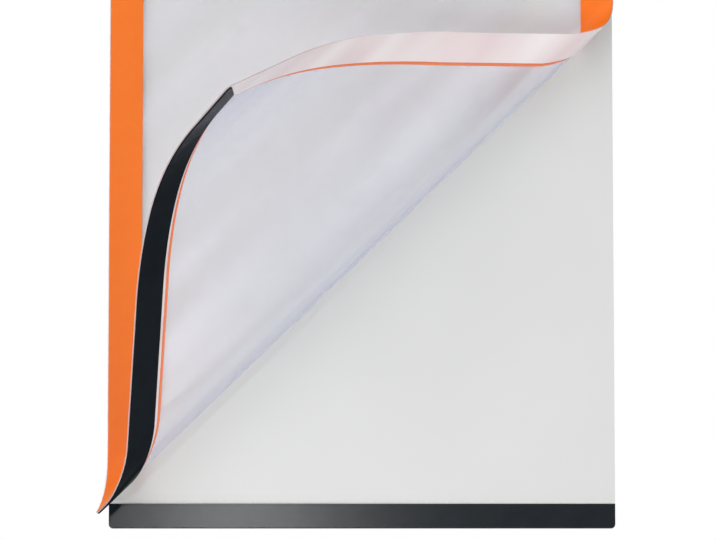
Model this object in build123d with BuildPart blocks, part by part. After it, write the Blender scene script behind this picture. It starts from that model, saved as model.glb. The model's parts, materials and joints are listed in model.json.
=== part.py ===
"""Magnetic display frame for an A4 sheet, with its clear cover peeled back from one corner.

The frame hangs upright: +X is to the right, +Z up and -Y towards the viewer. The origin is the centre
of the top rear magnet's wall face. Depths are measured from the wall, towards the viewer.
"""
from math import atan2, degrees, radians
import os

from build123d import *

os.makedirs("parts", exist_ok=True)

# Cover sheet, laid flat
cover_width = 236.0
cover_height = 323.0
border_width = 15.7
corner_radius = 2.0
window_radius = 1.0
border_reveal = 1.6  # border left bare of backing along the window
film_thickness = 0.3
border_thickness = 0.15
backing_thickness = 0.15

# Magnet strips
cover_magnet_height = 12.7
cover_magnet_thickness = 0.8
cover_magnet_end = 0.7  # upright part of its right end, between the round corner and a slant
closure_height = 11.5
closure_thickness = 1.0
closure_edge = 0.25  # softened front edges of the closure strip
closing_gap = 0.1  # air between the two magnets when the cover lies flat
rear_magnet_height = 11.0
rear_magnet_thickness = 0.9
rear_magnet_inset = 1.5  # from the panel's top edge and sides

# Panel and bonding
panel_inset = 1.0  # panel edge inside the cover edge
panel_thickness = 0.5
tape_thickness = 0.15
tape_reveal = 1.6  # closure tape left bare above the closure strip
spacer_inset = 1.0  # hinge spacer inside the top border

# Peel of the cover: first crease, from the left edge to the right edge, above the cover's lower edge
lift_left = 33.5
lift_right = 256.0
fan_reach = 458.0  # from the first crease's right end to the point where all creases would meet
fold_radius = 16.1  # radii and runs are measured at the first crease's middle
fold_turn = 148.5
fold_creases = 3
flat_run = 39.5
curl_radius = 69.0
curl_turn = 58.0
curl_creases = 2
crease_gap = 0.05

# Depths, from the wall
panel_depth = rear_magnet_thickness + tape_thickness
closure_tape_depth = panel_depth + panel_thickness
closure_depth = closure_tape_depth + tape_thickness
cover_magnet_depth = closure_depth + closure_thickness + closing_gap
backing_depth = cover_magnet_depth + cover_magnet_thickness
film_depth = backing_depth + backing_thickness
border_depth = film_depth + film_thickness
front_depth = border_depth + border_thickness

# Heights, from the origin
panel_width = cover_width - 2 * panel_inset
panel_height = cover_height - 2 * panel_inset
panel_top = rear_magnet_height / 2 + rear_magnet_inset
panel_bottom = panel_top - panel_height
cover_top = panel_top + panel_inset
cover_bottom = cover_top - cover_height
hinge_height = cover_top - border_width
rear_magnet_width = panel_width - 2 * rear_magnet_inset
lower_magnet_height = panel_bottom + closure_height / 2

UP = (Align.CENTER, Align.MIN)
DOWN = (Align.CENTER, Align.MAX)
wall = Plane.XZ

# Back panel
with BuildPart() as panel:
    with BuildSketch(wall.offset(panel_depth)):
        with Locations((0, panel_bottom)):
            Rectangle(panel_width, panel_height, align=UP)
        fillet(vertices(), corner_radius)
    extrude(amount=panel_thickness)
panel.part.label = "back_panel"
export_step(panel.part, "parts/back_panel.step")

# Closure strip on the panel's lower edge, and the tape that bonds it
with BuildPart() as closure_tape:
    with BuildSketch(wall.offset(closure_tape_depth)) as tape_outline:
        with Locations((0, panel_bottom)):
            Rectangle(panel_width, closure_height + tape_reveal, align=UP)
        fillet(tape_outline.vertices().group_by(Axis.Y)[0], corner_radius)
    extrude(amount=tape_thickness)
closure_tape.part.label = "closure_tape"
export_step(closure_tape.part, "parts/closure_tape.step")

with BuildPart() as closure:
    with BuildSketch(wall.offset(closure_depth)) as closure_outline:
        with Locations((0, panel_bottom)):
            Rectangle(panel_width, closure_height, align=UP)
        fillet(closure_outline.vertices().group_by(Axis.Y)[0], corner_radius)
    extrude(amount=closure_thickness)
    fillet(closure.faces().sort_by(Axis.Y)[0].edges(), closure_edge)
closure.part.label = "closure_strip"
export_step(closure.part, "parts/closure_strip.step")

# Rear magnet strips and their tapes, behind the hinge spacer and the closure strip
for end, height in (("top", 0.0), ("bottom", lower_magnet_height)):
    with BuildPart() as rear_magnet:
        with BuildSketch(wall):
            with Locations((0, height)):
                Rectangle(rear_magnet_width, rear_magnet_height)
        extrude(amount=rear_magnet_thickness)
    rear_magnet.part.label = f"rear_magnet_{end}"
    export_step(rear_magnet.part, f"parts/rear_magnet_{end}.step")

    with BuildPart() as rear_tape:
        with BuildSketch(wall.offset(rear_magnet_thickness)):
            with Locations((0, height)):
                Rectangle(rear_magnet_width, rear_magnet_height)
        extrude(amount=tape_thickness)
    rear_tape.part.label = f"rear_tape_{end}"
    export_step(rear_tape.part, f"parts/rear_tape_{end}.step")

# Spacer bonded between the panel and the cover's top edge, which is the cover's hinge
with BuildPart() as spacer:
    with BuildSketch(wall.offset(closure_tape_depth)):
        with Locations((0, panel_top)):
            Rectangle(panel_width, border_width - panel_inset - spacer_inset, align=DOWN)
    extrude(amount=backing_depth - closure_tape_depth)
spacer.part.label = "hinge_spacer"
export_step(spacer.part, "parts/hinge_spacer.step")

# Top edge of the cover, bonded to the spacer: backing, film and border
top_layers = (
    ("top_backing", backing_depth, backing_thickness, border_reveal),
    ("top_film", film_depth, film_thickness, 0.0),
    ("top_border", border_depth, border_thickness, 0.0),
)
for name, depth, thickness, bare in top_layers:
    with BuildPart() as top_layer:
        with BuildSketch(wall.offset(depth)) as top_outline:
            with Locations((0, cover_top)):
                Rectangle(cover_width, border_width - bare, align=DOWN)
            fillet(top_outline.vertices().group_by(Axis.Y)[-1], corner_radius)
        extrude(amount=thickness)
    top_layer.part.label = name
    export_step(top_layer.part, f"parts/{name}.step")

# Creases of the peel, a fan of lines on the flat cover that would meet at one point up and to the right
crease_left = Vector(-cover_width / 2, cover_bottom + lift_left)
crease_right = Vector(cover_width / 2, cover_bottom + lift_right)
down_crease = (crease_left - crease_right).normalized()
fan_point = crease_right - down_crease * fan_reach
middle_reach = fan_reach + (crease_left - crease_right).length / 2
sector_reach = 3 * (middle_reach + cover_width + cover_height)
outer_angle = 60.0  # wider than the cover looks from the fan point


def fan_direction(angle):
    """Direction from the fan point, at an angle in degrees past the first lift of the cover."""
    return down_crease.rotate(Axis.Z, angle)


def fan_angle(point):
    """Angle in degrees at which a point of the flat cover is seen from the fan point."""
    sight = point - fan_point
    return degrees(atan2(sight.Y, sight.X) - atan2(down_crease.Y, down_crease.X))


fold_step = fold_turn / fold_creases
curl_step = curl_turn / curl_creases
fold_pitch = fold_radius * radians(fold_step)
curl_pitch = curl_radius * radians(curl_step)
curl_start = fold_pitch * fold_creases + flat_run
fold_runs = [fold_pitch * (count + 0.5) for count in range(fold_creases)]
curl_runs = [curl_start + curl_pitch * (count + 0.5) for count in range(curl_creases)]
crease_angles = [degrees(run / middle_reach) for run in fold_runs + curl_runs]
crease_turns = [fold_step] * fold_creases + [-curl_step] * curl_creases
# A fold turns about the cover's front, and the reverse curl about its rear, so no strip meets the next
crease_depths = [front_depth] * fold_creases + [cover_magnet_depth] * curl_creases

# Place of the flat cover's main part, and of each strip after the creases before it have turned
place = wall.location
cover_planes = [wall]
crease_axes = []
for angle, turn, depth in zip(crease_angles, crease_turns, crease_depths):
    foot = fan_point + fan_direction(angle) * middle_reach
    crease = Plane((foot.X, foot.Y, depth), x_dir=fan_direction(angle), z_dir=(0, 0, 1)).location
    crease_axes.append(Plane(place * crease))
    place = place * crease * Rotation(turn, 0, 0) * crease.inverse()
    cover_planes.append(Plane(place))


def keep_strip(index):
    """Cut the sketch to the stretch of the flat cover between one crease and the next."""
    slit = degrees(crease_gap / 2 / middle_reach)
    start = crease_angles[index - 1] + slit if index > 0 else -outer_angle
    end = crease_angles[index] - slit if index < len(crease_angles) else outer_angle
    start_point = fan_point + fan_direction(start) * sector_reach
    end_point = fan_point + fan_direction(end) * sector_reach
    Polygon(fan_point, start_point, end_point, mode=Mode.INTERSECT)


def cover_outline(sketch, bare):
    """Cover below its hinge, with the window cut out of it where a width of border is left bare."""
    with Locations((0, cover_bottom)):
        Rectangle(cover_width, hinge_height - crease_gap - cover_bottom, align=UP)
    fillet(sketch.vertices().group_by(Axis.Y)[0], corner_radius)
    if bare is not None:
        rim = border_width - bare
        with Locations((0, cover_bottom + rim)):
            RectangleRounded(
                cover_width - 2 * rim, cover_height, window_radius, align=UP, mode=Mode.SUBTRACT
            )


# Each stretch of the cover: film, border in front of it, backing and magnet behind it
magnet_corner = Vector(-cover_width / 2, cover_bottom + cover_magnet_height)
cover_layers = (
    ("film", film_depth, film_thickness, None),
    ("border", border_depth, border_thickness, 0.0),
    ("backing", backing_depth, backing_thickness, border_reveal),
)
for index, cover_plane in enumerate(cover_planes):
    stretch = f"peel_{index}" if index > 0 else "cover"
    for layer, depth, thickness, bare in cover_layers:
        with BuildPart() as sheet:
            with BuildSketch(cover_plane.offset(depth)) as sheet_outline:
                cover_outline(sheet_outline, bare)
                keep_strip(index)
            extrude(amount=thickness)
        sheet.part.label = f"{stretch}_{layer}"
        export_step(sheet.part, f"parts/{stretch}_{layer}.step")

    end_angle = crease_angles[index] if index < len(crease_angles) else outer_angle
    if end_angle > fan_angle(magnet_corner):
        with BuildPart() as cover_magnet:
            with BuildSketch(cover_plane.offset(cover_magnet_depth)) as magnet_outline:
                with Locations((0, cover_bottom)):
                    Rectangle(cover_width, cover_magnet_height, align=UP)
                fillet(magnet_outline.vertices().group_by(Axis.Y)[0], corner_radius)
                upper_right = magnet_outline.vertices().group_by(Axis.Y)[-1].sort_by(Axis.X)[-1]
                chamfer(upper_right, cover_magnet_height - corner_radius - cover_magnet_end)
                keep_strip(index)
            extrude(amount=cover_magnet_thickness)
        cover_magnet.part.label = f"{stretch}_magnet"
        export_step(cover_magnet.part, f"parts/{stretch}_magnet.step")
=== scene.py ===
import json
import math

import bmesh
import bpy
import numpy as np
from mathutils import Matrix, Vector

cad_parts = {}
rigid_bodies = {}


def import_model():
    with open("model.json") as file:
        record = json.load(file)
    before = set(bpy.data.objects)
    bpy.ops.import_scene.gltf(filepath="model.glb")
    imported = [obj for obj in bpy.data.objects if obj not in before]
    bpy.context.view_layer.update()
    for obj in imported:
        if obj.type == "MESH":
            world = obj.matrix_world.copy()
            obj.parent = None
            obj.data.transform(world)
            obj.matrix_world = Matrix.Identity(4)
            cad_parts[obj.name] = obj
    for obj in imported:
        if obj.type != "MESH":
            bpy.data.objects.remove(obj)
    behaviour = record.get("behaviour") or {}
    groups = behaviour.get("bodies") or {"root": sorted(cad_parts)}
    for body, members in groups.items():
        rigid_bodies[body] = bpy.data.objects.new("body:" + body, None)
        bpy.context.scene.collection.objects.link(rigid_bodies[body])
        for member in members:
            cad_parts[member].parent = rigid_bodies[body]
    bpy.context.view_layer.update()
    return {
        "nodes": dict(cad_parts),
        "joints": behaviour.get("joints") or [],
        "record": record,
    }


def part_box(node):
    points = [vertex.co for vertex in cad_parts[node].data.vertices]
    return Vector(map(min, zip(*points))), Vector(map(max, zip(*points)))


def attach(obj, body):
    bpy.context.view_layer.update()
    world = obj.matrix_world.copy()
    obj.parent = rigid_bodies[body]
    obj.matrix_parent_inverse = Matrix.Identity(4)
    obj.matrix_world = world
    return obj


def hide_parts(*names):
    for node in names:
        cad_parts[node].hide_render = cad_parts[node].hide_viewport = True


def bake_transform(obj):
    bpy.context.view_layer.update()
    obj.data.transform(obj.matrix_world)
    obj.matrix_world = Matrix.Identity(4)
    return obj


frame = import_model()
print("frame loaded:", len(frame["nodes"]), "nodes")


def linear(hexColour):
    # sRGB hex to linear red, green, blue and full alpha: the standard curve, straight near black
    srgb = np.array([int(hexColour[i:i + 2], 16) / 255 for i in (1, 3, 5)])
    line = np.where(srgb <= 0.04045, srgb / 12.92, ((srgb + 0.055) / 1.055) ** 2.4)
    return (*line.tolist(), 1.0)


def addNode(tree, kind, inputs=None, **settings):
    # one node with its settings, and each input set to a value or linked from another node's socket
    node = tree.nodes.new(kind)
    for name, value in settings.items():
        setattr(node, name, value)
    for name, value in (inputs or {}).items():
        if isinstance(value, bpy.types.NodeSocket):
            tree.links.new(value, node.inputs[name])
        else:
            node.inputs[name].default_value = value
    return node


def newMaterial(name):
    # an empty material, and the tree to fill
    material = bpy.data.materials.new(name)
    material.use_nodes = True
    material.node_tree.nodes.clear()
    return material, material.node_tree


def withShader(material, inputs):
    # the material with one Principled shader as its surface
    tree = material.node_tree
    shader = addNode(tree, "ShaderNodeBsdfPrincipled", inputs)
    addNode(tree, "ShaderNodeOutputMaterial", {"Surface": shader.outputs["BSDF"]})
    return material


def noise(tree, place, millimetres, detail):
    # noise from 0 to 1 with features of about this size, so its scale per metre is 1000 over it
    return addNode(tree, "ShaderNodeTexNoise", {
        "Vector": place, "Scale": 1000.0 / millimetres, "Detail": detail,
    }).outputs["Fac"]


def mixed(tree, share, first, second):
    # from the first hex colour to the second, by a share
    return addNode(tree, "ShaderNodeMix", {
        "Factor": share, "A": linear(first), "B": linear(second),
    }, data_type="RGBA").outputs[2]


def bumped(tree, height, finish):
    # normal of a relief: the height times the finish's depth in metres, at its strength
    return addNode(tree, "ShaderNodeBump", {
        "Height": height, "Strength": finish["bump"], "Distance": finish["bumpDepth"],
    }).outputs["Normal"]


def reckoned(tree, operation, *values, clamped=False):
    # one step of arithmetic on numbers or sockets
    return addNode(tree, "ShaderNodeMath", dict(enumerate(values)), operation=operation,
                   use_clamp=clamped).outputs[0]


def ranged(tree, value, start, end, low, high):
    # low up to a start, high from an end on, and a straight line between
    return addNode(tree, "ShaderNodeMapRange", {
        "Value": value, "From Min": start, "From Max": end, "To Min": low, "To Max": high,
    }).outputs["Result"]


def flatPlace(tree):
    # place on the flat cover in metres, so that a pattern bends with its sheet
    return addNode(tree, "ShaderNodeUVMap", uv_map="flat").outputs["UV"]


def solidPlace(tree):
    # place in the shared frame in metres
    return addNode(tree, "ShaderNodeTexCoord").outputs["Object"]


def followedByEye(tree):
    # 1 for a ray that a viewer follows, from the camera, off gloss or through clear sheet, else 0
    path = addNode(tree, "ShaderNodeLightPath")
    seen = reckoned(tree, "MAXIMUM", path.outputs["Is Camera Ray"], path.outputs["Is Glossy Ray"])
    return reckoned(tree, "MAXIMUM", seen, path.outputs["Is Transmission Ray"])


white = (1.0, 1.0, 1.0, 1.0)
towardsViewer = np.array([0.0, -1.0, 0.0])

# Cover sheet laid flat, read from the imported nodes, in metres
cover = {
    "cornerRadius": 0.002,
    "windowRadius": 0.001,
    "hingeReach": 0.002,   # soft hinge, above and below the hinge line
    "borderTrim": 0.0005,  # how far each layer is cut back from the film's edge
    "backingTrim": 0.00015,
    "magnetTrim": 0.0004,
    "magnetSlant": 0.01,   # cut off the magnet's right end, up from the cover's corner
    "bondGap": 0.00001,    # air between bonded layers, so that their faces don't coincide
    "flapLift": 0.0027,    # flap set forward, so that its curls clear the closure strip when shut
    "bendSteps": 20,       # rulings across each bend
    "plainSteps": 8,       # rulings across each flat stretch
    "acrossSteps": 10,     # points along a ruling
    "cornerPoints": 7,     # rulings through each round corner
    "hingeRows": 9,        # points up the hinge, and round each upper corner
    "sideColumns": 13,     # points from side to side of the hinge
    "legColumns": 4,       # points across the hinge beside the window
    "sharpAngle": 40.0,    # degrees, faces that meet at more keep a sharp edge
}
sameHeading = 1e-6  # radians, rulings closer than this count as one
sameHeight = 1e-6   # metres, rows of the hinge closer than this count as one
emptyBand = 1e-7    # metres, a band narrower than this has no faces
weldReach = 2e-7    # metres, vertices closer than this become one
filmLow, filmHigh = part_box("top_film")
borderLow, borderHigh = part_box("top_border")
backingLow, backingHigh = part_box("top_backing")
panelLow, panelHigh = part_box("back_panel")
coverHalf = filmHigh.x
hingeJoint = next(joint for joint in frame["joints"] if joint["name"] == "cover_lift")
hingeLine = hingeJoint["pos_m"][2]
coverTop = hingeLine - cover["hingeReach"]
sheetTop = filmHigh.z
coverBottom = panelLow.z - (coverHalf - panelHigh.x)
borderWidth = borderHigh.z - borderLow.z
backingWidth = backingHigh.z - backingLow.z
filmMiddle = (filmLow.y + filmHigh.y) / 2
peelJoint = next(joint for joint in frame["joints"] if joint["name"] == "cover_peel")
rulingHeading = math.atan2(peelJoint["axis"][2], peelJoint["axis"][0])


def mottledMaterial(name, finish, bends, gloss=0.5):
    # first colour to second by a mottle, and relief by a grain. The pattern is laid on the flat cover
    # where the piece bends. A plain plastic has a gloss of 0.5
    material, tree = newMaterial(name)
    place = flatPlace(tree) if bends else solidPlace(tree)
    mottle = noise(tree, place, finish["mottle"], finish["mottleDetail"])
    grain = noise(tree, place, finish["grain"], finish["grainDetail"])
    return withShader(material, {
        "Base Color": mixed(tree, mottle, finish["first"], finish["second"]),
        "Roughness": finish["roughness"],
        "IOR": finish["index"],
        "Specular IOR Level": gloss,
        "Normal": bumped(tree, grain, finish),
    })


def drawnOut(tree, place, times):
    # place on the flat cover turned to the rulings, along which a pattern is this many times longer
    return addNode(tree, "ShaderNodeMapping", {
        "Vector": place, "Rotation": (0, 0, rulingHeading), "Scale": (times, 1, 1),
    }, vector_type="TEXTURE").outputs["Vector"]


# Back panel: polypropylene sheet, extruded with a fine sand grain. Milky and even, with a soft,
# wide sheen
panelFinish = {
    "first": "#d5d6d5",
    "second": "#dfe0df",
    "mottle": 90.0,       # mm, slow drift of the sheet's milkiness
    "mottleDetail": 2.0,
    "grain": 0.9,         # mm, the real grain is finer and is drawn coarser so that it shows
    "grainDetail": 3.0,
    "bump": 0.03,
    "bumpDepth": 0.0002,  # metres
    "roughness": 0.38,
    "index": 1.49,
}

# Cover film: clear PVC, calendered. Glossy and a little hazy, with slow ripples that bend its
# reflections, and painted reflection streaks along the rulings drawn as more haze
filmFinish = {
    "tint": "#f2f2fc",
    "deep": "#d0d6ee",    # tint of a long way through the sheet
    "ripple": 19.0,       # mm across the rulings, and many times as long along them
    "rippleDetail": 0.0,
    "rippleSpan": (0.3, 0.7),    # noise values between which the haze goes from low to high, in painted reflection streaks
    "draw": 15.0,         # how many times longer
    "smudge": 24.0,       # mm
    "smudgeDetail": 1.0,
    "smudgeSpan": (0.35, 0.7),   # noise values between which it goes from smooth to dull
    # haze between the streaks, and haze plus painted reflection in the brightest streak
    "hazeLow": 0.0675,
    "hazeAndPaintedStreak": 0.2625,
    "bonded": 0.06,       # haze left where the border's adhesive wets the film
    "edge": 0.6,          # how far it whitens at a glancing look, a painted reflection
    "edgePower": 4.0,     # how suddenly
    "cutEdge": 6.0,       # how many times hazier its cut edges are
    "smooth": 0.2,
    "dull": 0.28,
    "bump": 0.3,
    "bumpDepth": 0.0005,  # metres
    "index": 2.2,         # above vinyl's 1.53, as a part-clear shader fades its gloss with its haze
}


def filmMaterial():
    # haze, with painted reflection streaks along the rulings, a painted reflection at a glancing look,
    # and more at cut edges
    material, tree = newMaterial("clearVinylFilm")
    place = flatPlace(tree)
    ripple = noise(tree, drawnOut(tree, place, filmFinish["draw"]),
                   filmFinish["ripple"], filmFinish["rippleDetail"])
    smudge = noise(tree, place, filmFinish["smudge"], filmFinish["smudgeDetail"])
    roughness = ranged(tree, smudge, *filmFinish["smudgeSpan"],
                       filmFinish["smooth"], filmFinish["dull"])
    # painted reflection streaks: the haze goes from low to high along the drawn-out ripples
    streak = ranged(tree, ripple, *filmFinish["rippleSpan"],
                    filmFinish["hazeLow"], filmFinish["hazeAndPaintedStreak"])
    # the window is the film inside the border: between its sides, above its lower bar, below the hinge
    split = addNode(tree, "ShaderNodeSeparateXYZ", {"Vector": place})
    across = reckoned(tree, "ABSOLUTE", split.outputs["X"])
    narrow = reckoned(tree, "LESS_THAN", across, coverHalf - borderWidth)
    above = reckoned(tree, "GREATER_THAN", split.outputs["Y"], coverBottom + borderWidth)
    below = reckoned(tree, "LESS_THAN", split.outputs["Y"], hingeLine)
    inside = reckoned(tree, "MULTIPLY", narrow, above)
    window = reckoned(tree, "MULTIPLY", inside, below)
    hazeWithPaintedStreaks = ranged(tree, window, 0.0, 1.0, filmFinish["bonded"], streak)
    # painted reflection: clear sheet whitens at a glancing look, a power of how far it faces away added
    # to the haze, in place of the gloss that the part-clear shader fades
    facing = addNode(tree, "ShaderNodeLayerWeight").outputs["Facing"]
    paintedGlancingReflection = reckoned(tree, "POWER", facing, filmFinish["edgePower"])
    solid = reckoned(tree, "MULTIPLY_ADD", paintedGlancingReflection, filmFinish["edge"], hazeWithPaintedStreaks)
    # cut edges gather light and look white, and walls between stretches of the one sheet stay clear
    solidity = addNode(tree, "ShaderNodeAttribute", attribute_name="solidity").outputs["Fac"]
    return withShader(material, {
        "Base Color": mixed(tree, facing, filmFinish["tint"], filmFinish["deep"]),
        "Roughness": roughness,
        "IOR": filmFinish["index"],
        "Alpha": reckoned(tree, "MULTIPLY", solid, solidity, clamped=True),
        "Normal": bumped(tree, ripple, filmFinish),
    })


# Border: orange vinyl film, screen printed. Strong even colour, satin, with a faint mottle of the ink
borderFinish = {
    "first": "#ff7e10",
    "second": "#fb760b",
    "mottle": 7.0,        # mm
    "mottleDetail": 3.0,
    "grain": 1.4,         # mm, orange peel, drawn coarser than the real ink's so that it shows
    "grainDetail": 2.0,
    "bump": 0.1,
    "bumpDepth": 0.0002,  # metres
    "roughness": 0.45,
    "index": 1.33,
}

# Backing: white ink on the back of the orange. Thin enough for the orange to warm it, with a soft
# gloss, and painted highlight bands along the rulings, whiter and pinker by turns
backingFinish = {
    # white ink with a painted highlight, and the pinker ink between the painted highlights
    "ink": "#fbf3f3",
    "inkBetweenPaintedHighlights": "#ecd8db",
    "streak": 20.0,       # mm across the rulings, and longer along them
    "streakDetail": 1.0,
    "streakSpan": (0.3, 0.7),    # noise values between which the colour goes from the painted highlight to the pinker ink
    "draw": 5.0,          # how many times longer
    "bump": 0.2,
    "bumpDepth": 0.0008,  # metres
    "roughness": 0.3,
    "index": 1.5,
}


def backingMaterial():
    # painted highlight bands: from the whiter ink to the pinker by streaks along the rulings, which are
    # its relief too
    material, tree = newMaterial("whiteVinylInk")
    place = drawnOut(tree, flatPlace(tree), backingFinish["draw"])
    streak = noise(tree, place, backingFinish["streak"], backingFinish["streakDetail"])
    share = ranged(tree, streak, *backingFinish["streakSpan"], 0.0, 1.0)
    return withShader(material, {
        "Base Color": mixed(tree, share, backingFinish["ink"], backingFinish["inkBetweenPaintedHighlights"]),
        "Roughness": backingFinish["roughness"],
        "IOR": backingFinish["index"],
        "Normal": bumped(tree, streak, backingFinish),
    })


# Magnet strips: ferrite rubber, calendered. Near black with a satin sheen and a faint fine texture
magnetFinish = {
    "first": "#12171c",
    "second": "#1c2227",
    "mottle": 9.0,        # mm, dust on the rubber
    "mottleDetail": 4.0,
    "grain": 0.7,         # mm
    "grainDetail": 2.0,
    "bump": 0.12,
    "bumpDepth": 0.0002,  # metres
    "roughness": 0.19,
    "index": 1.3,
    "gloss": 0.25,        # half of a plain plastic's
    "bentGloss": 0.06,    # the cover's own strip is seen at a slant, where more would turn it grey
}

# Tape: white bonding tape. Dull white, with fibres
tapeFinish = {
    "first": "#efefec",
    "second": "#dcdcd8",
    "mottle": 1.2,        # mm, fibres, which are its relief too
    "mottleDetail": 3.0,
    "grain": 1.2,         # mm
    "grainDetail": 3.0,
    "bump": 0.3,
    "bumpDepth": 0.0003,  # metres
    "roughness": 0.7,
    "index": 1.5,
}

# Spacer: white closed cell foam. Dull like the tape, with small cells, drawn coarser than real ones
foamFinish = {
    **tapeFinish,
    "mottle": 1.6,        # mm
    "grain": 1.6,         # mm
}

finishes = {
    "translucent_panel": mottledMaterial("polypropyleneSheet", panelFinish, False),
    "clear_film": filmMaterial(),
    "orange_border": mottledMaterial("orangePrintedVinyl", borderFinish, True),
    "white_backing": backingMaterial(),
    "magnet_strip": mottledMaterial("ferriteRubber", magnetFinish, False, magnetFinish["gloss"]),
    "white_tape": mottledMaterial("whitePaperTape", tapeFinish, False),
    "foam_spacer": mottledMaterial("whiteClosedFoam", foamFinish, False),
}
coverMagnet = mottledMaterial("bentFerriteRubber", magnetFinish, True, magnetFinish["bentGloss"])
for subpart in frame["record"]["subparts"]:
    node = frame["nodes"][subpart["node"]]
    node.data.materials.clear()
    node.data.materials.append(finishes[subpart["material_slot"]])
print("finishes:", len(finishes))


def turnAbout(point, axis, angle):
    # turn by an angle about a line: bring the line to the origin, turn, and take it back
    there = Matrix.Translation(Vector(point))
    return np.array(there @ Matrix.Rotation(angle, 4, Vector(axis)) @ there.inverted())


# Creases of the peel: each joint's line taken back to the flat cover, and the place of the strip
# after it
creases = []
places = [np.eye(4)]
for joint in frame["joints"]:
    if not joint["child"].startswith("peel"):
        continue
    turn = -math.radians(sum(joint["range_deg"]))
    undo = np.linalg.inv(places[-1])
    foot = undo[:3, :3] @ np.array(joint["pos_m"]) + undo[:3, 3]
    along = undo[:3, :3] @ np.array(joint["axis"])
    creases.append({
        "bodies": (joint["parent"], joint["child"]),
        "turn": turn,
        "foot": foot,
        "along": along,
        "heading": math.atan2(along[2], along[0]),
    })
    places.append(turnAbout(joint["pos_m"], joint["axis"], turn) @ places[-1])

# The creases meet at the fan point: two lines crossed in the plane of the cover
firstCrease, secondCrease = creases[0], creases[1]
crossed = np.array([firstCrease["along"][[0, 2]], -secondCrease["along"][[0, 2]]]).T
reachBack = np.linalg.solve(crossed, (secondCrease["foot"] - firstCrease["foot"])[[0, 2]])[0]
fanPoint = (firstCrease["foot"] + firstCrease["along"] * reachBack)[[0, 2]]
folds = [crease for crease in creases if crease["turn"] > 0]
curls = [crease for crease in creases if crease["turn"] < 0]
for bends in (folds, curls):
    for crease in bends:
        crease["half"] = (bends[1]["heading"] - bends[0]["heading"]) / 2
flapPlace = places[len(folds)]  # of the flat of the flap, past the folds
magnetBack = curls[0]["foot"][1]
print("fan point:", np.round(fanPoint * 1000, 1), "mm,",
      len(folds), "folds and", len(curls), "curls")


def headingOf(x, z):
    # direction, in radians, in which a point of the flat cover is seen from the fan point
    return math.atan2(z - fanPoint[1], x - fanPoint[0])


def tangentHeading(x, z, radius):
    # heading of the ruling that just touches a corner circle on its far side
    return headingOf(x, z) + math.asin(radius / math.hypot(x - fanPoint[0], z - fanPoint[1]))


def crossing(headings, left, right, bottom, top, radius, slant=0.0):
    # reach at which each ruling enters and leaves a rectangle with round lower corners: the side lines
    # and the slant off the upper right corner first, where x plus z is level, then the corner circle's
    # two meetings, projection less or plus the half chord, where the point is in a corner
    dx, dz = np.cos(headings), np.sin(headings)
    enter = np.maximum((right - fanPoint[0]) / dx, (top - fanPoint[1]) / dz)
    enter = np.maximum(enter, (right + top - slant - fanPoint.sum()) / (dx + dz))
    leave = np.minimum((left - fanPoint[0]) / dx, (bottom - fanPoint[1]) / dz)
    for cornerX, side in ((left + radius, -1), (right - radius, 1)):
        toX, toZ = cornerX - fanPoint[0], bottom + radius - fanPoint[1]
        middle = toX * dx + toZ * dz
        chord = np.sqrt(np.maximum(radius ** 2 - (toX * dz - toZ * dx) ** 2, 0))
        for reach, sign in ((enter, -1), (leave, 1)):
            x, z = fanPoint[0] + reach * dx, fanPoint[1] + reach * dz
            inCorner = ((x - cornerX) * side > 0) & (z < bottom + radius)
            reach[inCorner] = (middle + sign * chord)[inCorner]
    return enter, leave


def cornerHeadings(left, right, bottom, top, radius, slant=0.0):
    # headings at which an outline's corners are met, with a few along each round corner
    arc = np.linspace(0, math.pi / 2, cover["cornerPoints"])
    inset = list(zip(radius * (1 - np.cos(arc)), radius * (1 - np.sin(arc))))
    points = [(left, top), (right - slant, top), (right, top - slant)]
    points += [(left + a, bottom + b) for a, b in inset]
    points += [(right - a, bottom + b) for a, b in inset]
    last = tangentHeading(right - radius, bottom + radius, radius)
    return [headingOf(x, z) for x, z in points] + [last]


# Stretches of the cover from the top down to the corner: flat ones on one body, bends between two
radius = cover["cornerRadius"]
lastHeading = tangentHeading(coverHalf - radius, coverBottom + radius, radius)
stretches = []
heading = headingOf(-coverHalf, coverTop)
names = iter(["Main", "Flap", "Corner"])
for index, crease in enumerate(creases):
    start, end = crease["heading"] - crease["half"], crease["heading"] + crease["half"]
    if start - heading > sameHeading:
        stretches.append({
            "name": next(names), "from": heading, "to": start, "place": places[index],
            "bodies": crease["bodies"][:1], "standsFor": crease["bodies"][:1],
        })
    kind, group = ("Fold", folds) if crease in folds else ("Curl", curls)
    stretches.append({
        "name": f"{kind}{group.index(crease) + 1}", "from": start, "to": end, "crease": crease,
        "place": places[index], "next": places[index + 1], "bodies": crease["bodies"],
        "standsFor": () if crease is group[-1] else crease["bodies"][1:],
    })
    heading = end
stretches.append({
    "name": next(names), "from": heading, "to": lastHeading, "place": places[-1],
    "bodies": creases[-1]["bodies"][1:], "standsFor": creases[-1]["bodies"][1:],
})


def flatPoint(headings, reach, depth):
    # point of the flat cover: the fan point plus a reach along the heading, at a depth
    x = fanPoint[0] + reach * np.cos(headings)
    z = fanPoint[1] + reach * np.sin(headings)
    return np.stack([x, np.full_like(x, depth), z], axis=-1)


def carried(place, points):
    # points moved by a strip's place: turned, then shifted
    return points @ place[:3, :3].T + place[:3, 3]


def threeWay(t, before, corner, behind):
    # blend of three: (1-t)^2 of the first, 2t(1-t) of the second and t^2 of the third
    return (1 - t) ** 2 * before + 2 * t * (1 - t) * corner + t ** 2 * behind


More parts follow.
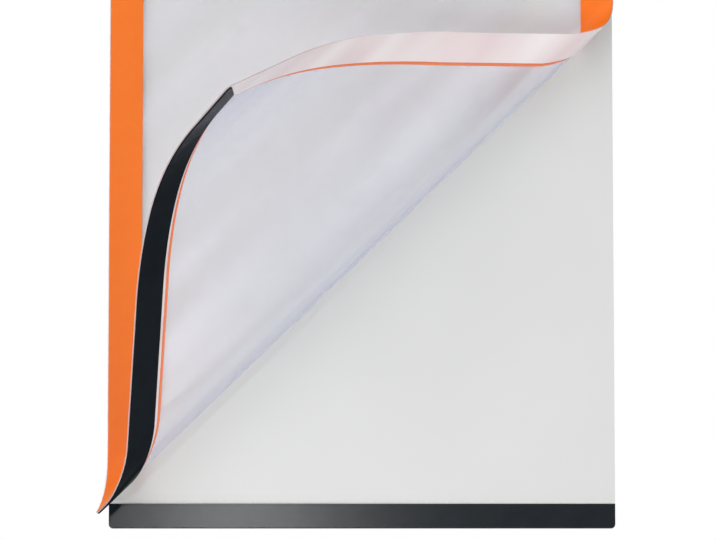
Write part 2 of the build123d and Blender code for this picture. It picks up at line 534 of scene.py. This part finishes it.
def bentSheet(stretch, headings, reach):
    # middle of the film and its front normal. A flat stretch is the flat cover moved as it is. Over a
    # bend each ruling is a blend of three lines, before, at the corner and after, which meets the flat
    # stretches edge to edge and in the same direction. The normal is square to the ruling and to the
    # blend's slope, (1-t) of the way to the corner and t of the way from it
    place = stretch["place"]
    wide = np.broadcast_to(headings[:, None], reach.shape)
    if "crease" not in stretch:
        points = carried(place, flatPoint(wide, reach, filmMiddle))
        return points, np.broadcast_to(place[:3, :3] @ towardsViewer, points.shape)
    crease, after = stretch["crease"], stretch["next"]
    t = ((headings - stretch["from"]) / (stretch["to"] - stretch["from"]))[:, None, None]
    outward = place[:3, :3] @ towardsViewer + after[:3, :3] @ towardsViewer
    outward = outward / np.linalg.norm(outward)
    rise = (crease["foot"][1] - filmMiddle) / math.cos(crease["turn"] / 2)
    lines, directions = [], []
    for angle, body, depth, lift in (
        (stretch["from"], place, filmMiddle, 0.0),
        (crease["heading"], place, crease["foot"][1], rise),
        (stretch["to"], after, filmMiddle, 0.0),
    ):
        level = np.full(reach.shape, angle)
        lines.append(carried(body, flatPoint(level, reach, depth)) + lift * outward)
        directions.append(body[:3, :3] @ np.array([math.cos(angle), 0, math.sin(angle)]))
    before, corner, behind = lines
    slope = (1 - t) * (corner - before) + t * (behind - corner)
    normal = np.cross(np.broadcast_to(threeWay(t, *directions), slope.shape), slope)
    return threeWay(t, *lines), normal / np.linalg.norm(normal, axis=-1, keepdims=True)


def plate(points, normals, flat, front, back,
          nearWall=None, farWall=None, firstWall=None, lastWall=None):
    # closed plate round a grid: the grid pushed along its normals to a front and a back, and walls on
    # its edges. A mask keeps only some of a wall's faces, where another plate goes on from it or the
    # plate has no width
    rows, columns = points.shape[:2]
    index = np.arange(rows * columns).reshape(rows, columns)
    behind = index + rows * columns
    vertices = np.concatenate([(points + normals * side).reshape(-1, 3) for side in (front, back)])
    faces = [
        (index[:-1, :-1], index[:-1, 1:], index[1:, 1:], index[1:, :-1]),
        (behind[:-1, :-1], behind[1:, :-1], behind[1:, 1:], behind[:-1, 1:]),
        (index[:-1, 0], index[1:, 0], behind[1:, 0], behind[:-1, 0]),
        (index[1:, -1], index[:-1, -1], behind[:-1, -1], behind[1:, -1]),
        (index[0, 1:], index[0, :-1], behind[0, :-1], behind[0, 1:]),
        (index[-1, :-1], index[-1, 1:], behind[-1, 1:], behind[-1, :-1]),
    ]
    faces = [np.stack(corners, -1).reshape(-1, 4) for corners in faces]
    masks = (None, None, nearWall, farWall, firstWall, lastWall)
    faces = [part if mask is None else part[mask] for part, mask in zip(faces, masks)]
    shares = (1, 1, filmFinish["cutEdge"], filmFinish["cutEdge"], 0, 0)
    solidity = np.concatenate([np.full(len(part), share) for part, share in zip(faces, shares)])
    return vertices, np.concatenate(faces), np.concatenate([flat.reshape(-1, 3)] * 2), solidity


def makePiece(name, plates, material):
    # one mesh from its plates, welded, with the flat cover's x and z in metres as its UV map, and each
    # face's share of the sheet's haze: one on the sheet, more on cut edges and none on walls against
    # another stretch
    vertices = np.concatenate([p[0] for p in plates])
    starts = np.cumsum([0] + [len(p[0]) for p in plates[:-1]])
    faces = np.concatenate([p[1] + start for p, start in zip(plates, starts)])
    mesh = bpy.data.meshes.new(name)
    mesh.from_pydata(vertices.tolist(), [], faces.tolist())
    flat = np.concatenate([p[2] for p in plates]).astype(np.float32)
    laid = mesh.attributes.new("laidFlat", "FLOAT_VECTOR", "POINT")
    laid.data.foreach_set("vector", flat.ravel())
    solidity = mesh.attributes.new("solidity", "FLOAT", "FACE")
    solidity.data.foreach_set("value", np.concatenate([p[3] for p in plates]).astype(np.float32))
    work = bmesh.new()
    work.from_mesh(mesh)
    bmesh.ops.remove_doubles(work, verts=work.verts, dist=weldReach)
    bmesh.ops.dissolve_degenerate(work, edges=work.edges, dist=weldReach)
    work.to_mesh(mesh)
    work.free()
    mesh.polygons.foreach_set("use_smooth", np.ones(len(mesh.polygons), bool))
    mesh.set_sharp_from_angle(angle=math.radians(cover["sharpAngle"]))
    laidFlat = np.zeros(len(mesh.vertices) * 3, np.float32)
    mesh.attributes["laidFlat"].data.foreach_get("vector", laidFlat)
    corners = np.zeros(len(mesh.loops), np.int32)
    mesh.loops.foreach_get("vertex_index", corners)
    uv = mesh.uv_layers.new(name="flat")
    uv.data.foreach_set("uv", laidFlat.reshape(-1, 3)[corners][:, [0, 2]].ravel())
    mesh.attributes.remove(mesh.attributes["laidFlat"])
    mesh.materials.append(material)
    piece = bpy.data.objects.new(name, mesh)
    bpy.context.scene.collection.objects.link(piece)
    return piece


def rulings(stretch, corners, first, last):
    # headings of a stretch's rulings: evenly spaced, with those that meet the outline's corners
    start, end = max(stretch["from"], first), min(stretch["to"], last)
    steps = cover["bendSteps"] if "crease" in stretch else cover["plainSteps"]
    inside = [c for c in corners if start + sameHeading < c < end - sameHeading]
    return np.unique(np.concatenate([np.linspace(start, end, steps + 1), inside]))


def between(start, end):
    # evenly spaced reaches along each ruling
    share = np.linspace(0, 1, cover["acrossSteps"] + 1)
    return start[:, None] + (end - start)[:, None] * share


def smoothRise(value, low, high):
    # 0 below low, 1 above high and 3s^2 - 2s^3 of the share between
    share = np.clip((value - low) / (high - low), 0, 1)
    return share ** 2 * (3 - 2 * share)


def sheetPlate(stretch, headings, start, end, front, back, nearWall=None, farWall=None):
    # a band of one layer over a stretch, lifted forward smoothly over the folds
    reach = between(start, end)
    points, normals = bentSheet(stretch, headings, reach)
    flat = flatPoint(np.broadcast_to(headings[:, None], reach.shape), reach, 0.0)
    foldStart = folds[0]["heading"] - folds[0]["half"]
    foldEnd = folds[-1]["heading"] + folds[-1]["half"]
    lift = cover["flapLift"] * smoothRise(headings, foldStart, foldEnd)
    points = points + normals * lift[:, None, None]
    return plate(points, normals, flat, front, back, nearWall, farWall)


def layerPlates(stretch, headings, enter, leave, window, faces):
    # one plate from where each ruling enters the outline to where it leaves it, or two with the window
    # between them. The two meet where the window is shut, and one is empty where the window reaches
    # the outline
    if window is None:
        return [sheetPlate(stretch, headings, enter, leave, *faces)]
    windowIn, windowOut = crossing(headings, *window)
    seam = (windowIn + windowOut) / 2
    shut = windowIn >= windowOut - emptyBand
    windowIn = np.clip(np.where(shut, seam, windowIn), enter, leave)
    windowOut = np.clip(np.where(shut, seam, windowOut), enter, leave)
    parted = ~(shut[:-1] & shut[1:])
    thinNear, thinFar = windowIn - enter < emptyBand, leave - windowOut < emptyBand
    nearKept = ~(thinNear[:-1] & thinNear[1:] & parted)
    farKept = ~(thinFar[:-1] & thinFar[1:] & parted)
    return [
        sheetPlate(stretch, headings, enter, windowIn, *faces, nearKept, nearKept & parted),
        sheetPlate(stretch, headings, windowOut, leave, *faces, farKept & parted, farKept),
    ]


def bendSpan(stretch, headings, enter, leave):
    # span of a bend: the crease's foot at rest, the way over the bend, square to the crease and midway
    # between its two sides, and half the bend's chord at its narrow end
    crease = stretch["crease"]
    narrow = enter.min() * math.sin(crease["half"]) * math.cos(crease["turn"] / 2)
    before, after = stretch["place"][:3, :3], stretch["next"][:3, :3]
    square = np.cross(crease["along"], towardsViewer)
    direction = before @ square + after @ square
    direction = direction / np.linalg.norm(direction)
    points = bentSheet(stretch, headings, between(enter, leave))[0]
    if direction @ (points[-1, 0] - points[0, 0]) < 0:
        direction = -direction
    return carried(stretch["place"], crease["foot"][None])[0], direction, narrow


def offsets(frontPlace, backPlace):
    # a layer's faces as distances in front of the film's middle
    return filmMiddle - frontPlace, filmMiddle - backPlace


gap = cover["bondGap"]
magnetMesh = frame["nodes"]["peel_3_magnet"].data
magnetPoints = np.zeros(len(magnetMesh.vertices) * 3)
magnetMesh.vertices.foreach_get("co", magnetPoints)
magnetTop = carried(np.linalg.inv(flapPlace), magnetPoints.reshape(-1, 3))[:, 2].max()
layers = {
    "film": {
        "faces": offsets(filmLow.y, filmHigh.y),
        "rim": None, "trim": 0.0, "slot": "clear_film",
    },
    "border": {
        "faces": offsets(borderLow.y, borderHigh.y - gap),
        "rim": borderWidth, "trim": cover["borderTrim"], "slot": "orange_border",
    },
    "backing": {
        "faces": offsets(backingLow.y + gap, backingHigh.y),
        "rim": backingWidth, "trim": cover["backingTrim"], "slot": "white_backing",
    },
    "magnet": {
        "faces": offsets(backingHigh.y + gap, magnetBack),
        "rim": None, "trim": cover["magnetTrim"], "slot": "magnet_strip",
    },
}
pieceCount = 0
for layerName, layer in layers.items():
    side, radius = coverHalf - layer["trim"], cover["cornerRadius"] - layer["trim"]
    outline = (-side, side, coverBottom + layer["trim"], coverTop, radius)
    if layerName == "magnet":
        outline = (*outline[:3], magnetTop, radius, cover["magnetSlant"])
    corners = cornerHeadings(*outline)
    first = headingOf(outline[0], outline[3])
    last = tangentHeading(side - radius, outline[2] + radius, radius)
    finish = coverMagnet if layerName == "magnet" else finishes[layer["slot"]]
    rim, window = layer["rim"], None
    if rim:
        windowSide = coverHalf - rim
        window = (-windowSide, windowSide, coverBottom + rim, coverTop, cover["windowRadius"])
        corners = corners + cornerHeadings(*window)
    waiting = []   # nodes of the bodies passed, which the next piece stands for
    for stretch in stretches:
        waiting += [f"{body}_{layerName}" for body in stretch["standsFor"]]
        if stretch["to"] - first < sameHeading:
            continue
        headings = rulings(stretch, corners, first, last)
        enter, leave = crossing(headings, *outline)
        leave = np.maximum(leave, enter)
        plates = layerPlates(stretch, headings, enter, leave, window, layer["faces"])
        piece = makePiece(layerName + stretch["name"], plates, finish)
        if "crease" in stretch:
            middle, direction, narrow = bendSpan(stretch, headings, enter, leave)
            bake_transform(piece)
        else:
            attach(piece, stretch["bodies"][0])
        nodes = [node for node in waiting if node in frame["nodes"]]
        if nodes:
            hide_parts(*nodes)
        waiting = []
        pieceCount += 1
print("cover pieces:", pieceCount)


def uprightPlate(heights, sides, faces, **masks):
    # flat plate of the cover: rows at the given heights, columns at the given places from side to side
    x, z = np.broadcast_arrays(sides, heights[:, None])
    points = np.stack([x, np.full_like(x, filmMiddle), z], axis=-1)
    return plate(points, np.broadcast_to(towardsViewer, points.shape), points, *faces, **masks)


# Top edge of the cover and the soft hinge below it. The hinge spans twice its reach
hingeHeights = np.linspace(hingeLine - cover["hingeReach"], hingeLine + cover["hingeReach"],
                           cover["hingeRows"])
quarterTurn = np.linspace(0, math.pi / 2, cover["hingeRows"])
evenly = np.linspace(-1, 1, cover["sideColumns"])
for layerName in ("film", "border", "backing"):
    layer = layers[layerName]
    side, radius = coverHalf - layer["trim"], cover["cornerRadius"] - layer["trim"]
    top, rim, finish = sheetTop - layer["trim"], layer["rim"], finishes[layer["slot"]]
    # width at each height: full below the corner, then the corner circle's half chord past its middle
    rise = np.concatenate([[hingeHeights[-1]], top - radius + radius * np.sin(quarterTurn)])
    intoCorner = np.maximum(rise - top + radius, 0)
    width = side - radius + np.sqrt(np.maximum(radius ** 2 - intoCorner ** 2, 0))
    topPiece = makePiece(layerName + "Top", [
        uprightPlate(rise, width[:, None] * evenly, layer["faces"]),
    ], finish)
    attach(topPiece, hingeJoint["parent"])
    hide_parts("top_" + layerName)
    if rim:
        # two legs beside the window, up to the bar's lower side, and the bar above them
        ledge = sheetTop - rim
        low = np.append(hingeHeights[hingeHeights < ledge - sameHeight], ledge)
        high = np.insert(hingeHeights[hingeHeights > ledge + sameHeight], 0, ledge)
        windowSide = coverHalf - rim
        leg = np.linspace(-side, -windowSide, cover["legColumns"])
        overWindow = np.linspace(-windowSide, windowSide, cover["sideColumns"])[1:-1]
        bar = np.concatenate([leg, overWindow, -leg[::-1]])
        inside = np.abs(bar[:-1] + bar[1:]) / 2 < windowSide
        joined = np.zeros(len(leg) - 1, bool)
        plates = [
            uprightPlate(low, leg, layer["faces"], lastWall=joined),
            uprightPlate(low, -leg[::-1], layer["faces"], lastWall=joined),
            uprightPlate(high, bar, layer["faces"], firstWall=inside),
        ]
    else:
        columns = np.linspace(-side, side, cover["sideColumns"])
        plates = [uprightPlate(hingeHeights, columns, layer["faces"])]
    hingePiece = makePiece(layerName + "Hinge", plates, finish)
    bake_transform(hingePiece)
print("top edge and hinge: 6 pieces")

# Camera: the photograph's angle, from a little below with a long lens
view = {
    "elevation": -12.0,      # degrees
    "distance": 3.7,         # metres
    "lens": 400.0,           # mm
    "sensor": 36.0,          # mm
    "clipStart": 0.05,
    "clipEnd": 50.0,
    "aimX": -0.00186,
    "aimAboveEdge": 0.1231,  # picture's middle above the cover's lower edge
}
camera = bpy.data.cameras.new("photoCamera")
camera.lens = view["lens"]
camera.sensor_width = view["sensor"]
camera.clip_start, camera.clip_end = view["clipStart"], view["clipEnd"]
cameraObject = bpy.data.objects.new("photoCamera", camera)
bpy.context.scene.collection.objects.link(cameraObject)
bpy.context.scene.camera = cameraObject
tilt = math.radians(view["elevation"])
aim = Vector((view["aimX"], panelLow.y, coverBottom + view["aimAboveEdge"]))
back = Vector((0.0, -math.cos(tilt), math.sin(tilt)))
cameraObject.location = aim + back * view["distance"]
cameraObject.rotation_euler = (-back).to_track_quat("-Z", "Y").to_euler()

# Room: white to the eye and in mirrors, and dimmer as a light
room = {
    "seen": 1.0,
    "light": 0.545,
}
world = bpy.data.worlds.new("whiteRoom")
bpy.context.scene.world = world
world.use_nodes = True
tree = world.node_tree
tree.nodes.clear()
strength = ranged(tree, followedByEye(tree), 0.0, 1.0, room["light"], room["seen"])
background = addNode(tree, "ShaderNodeBackground", {"Color": white, "Strength": strength})
addNode(tree, "ShaderNodeOutputWorld", {"Surface": background.outputs["Background"]})

# Lamps: a broad key from the upper left, a fill from the lower right and one behind for the back.
# The other three show only in gloss: on the black strip, on the left of the window and along the flap
light = {
    "key": {"power": 15.8, "size": (1.8, 1.8), "place": (-0.9, -1.5, 0.9)},
    "fill": {"power": 2.6, "size": (0.4, 0.4), "place": (0.26, -0.9, -0.66)},
    "rear": {"power": 19.0, "size": (1.2, 1.2), "place": (0.8, 1.8, 0.7)},
    "strip": {"power": 1.2, "size": (0.04, 0.06), "place": (-0.072, -0.9, -0.15)},
    "window": {"power": 0.25, "size": (0.3, 0.4), "place": (-0.09, -0.9, 0.14)},
    "flap": {
        "power": 0.28, "size": (0.6, 0.12),
        "reach": 1.0,      # metres from the flap
        "pastFold": 1.5,   # faces the flap this many half bends past the last fold's middle
    },
}


def addLamp(name, place, target, along=(1, 0, 0), glossOnly=False):
    # an area lamp that faces a point, with its first side along a direction: its third axis points
    # away from the target, and its second is square to that and to the direction
    lamp = bpy.data.lights.new(name + "Lamp", "AREA")
    lamp.energy = light[name]["power"]
    lamp.shape = "RECTANGLE"
    lamp.size, lamp.size_y = light[name]["size"]
    lampObject = bpy.data.objects.new(name + "Lamp", lamp)
    bpy.context.scene.collection.objects.link(lampObject)
    away = (Vector(place) - Vector(target)).normalized()
    upward = away.cross(Vector(along)).normalized()
    turned = Matrix((upward.cross(away), upward, away)).transposed()
    lampObject.matrix_world = Matrix.Translation(Vector(place)) @ turned.to_4x4()
    lampObject.visible_diffuse = not glossOnly


for name in ("key", "fill", "rear"):
    addLamp(name, light[name]["place"], aim)
for name, height in (("strip", coverBottom), ("window", coverTop)):
    place = light[name]["place"]
    addLamp(name, place, (place[0], 0, height), glossOnly=True)
# the flap lamp stands where the flat of the flap mirrors the camera: twice the normal's share, less
# the sight line
flapNormal = Vector(flapPlace[:3, 1])
flapMirror = 2 * flapNormal.dot(back) * flapNormal - back
flapHeading = folds[-1]["heading"] + light["flap"]["pastFold"] * folds[-1]["half"]
flapPoint = flatPoint(np.array([flapHeading]), np.array([-reachBack]), filmMiddle)
flapMiddle = Vector(carried(flapPlace, flapPoint)[0])
addLamp("flap", flapMiddle + light["flap"]["reach"] * flapMirror, flapMiddle,
        creases[0]["along"], glossOnly=True)
print("lamps:", len(light))

# Floor, a pale sheet well below the hung frame. Eyes and mirrors see it near white, and it keeps its
# shadows
floor = {
    "drop": 2.3,       # metres below the cover's lower edge
    "half": 9.0,       # metres
    "first": "#f4f4f4",
    "second": "#ffffff",
    "mottle": 400.0,   # mm
    "mottleDetail": 2.0,
    "roughness": 0.8,
    "glow": 0.55,
}
floorMaterial, tree = newMaterial("paleFloor")
mottle = noise(tree, solidPlace(tree), floor["mottle"], floor["mottleDetail"])
withShader(floorMaterial, {
    "Base Color": mixed(tree, mottle, floor["first"], floor["second"]),
    "Roughness": floor["roughness"],
    "Emission Color": white,
    "Emission Strength": reckoned(tree, "MULTIPLY", followedByEye(tree), floor["glow"]),
})
floorMesh = bpy.data.meshes.new("paleFloor")
half, level = floor["half"], coverBottom - floor["drop"]
corners = [(x, y, level) for x, y in ((-half, -half), (half, -half), (half, half), (-half, half))]
floorMesh.from_pydata(corners, [], [(0, 1, 2, 3)])
floorMesh.materials.append(floorMaterial)
floorObject = bpy.data.objects.new("paleFloor", floorMesh)
bpy.context.scene.collection.objects.link(floorObject)

bpy.context.scene.view_settings.view_transform = "Standard"
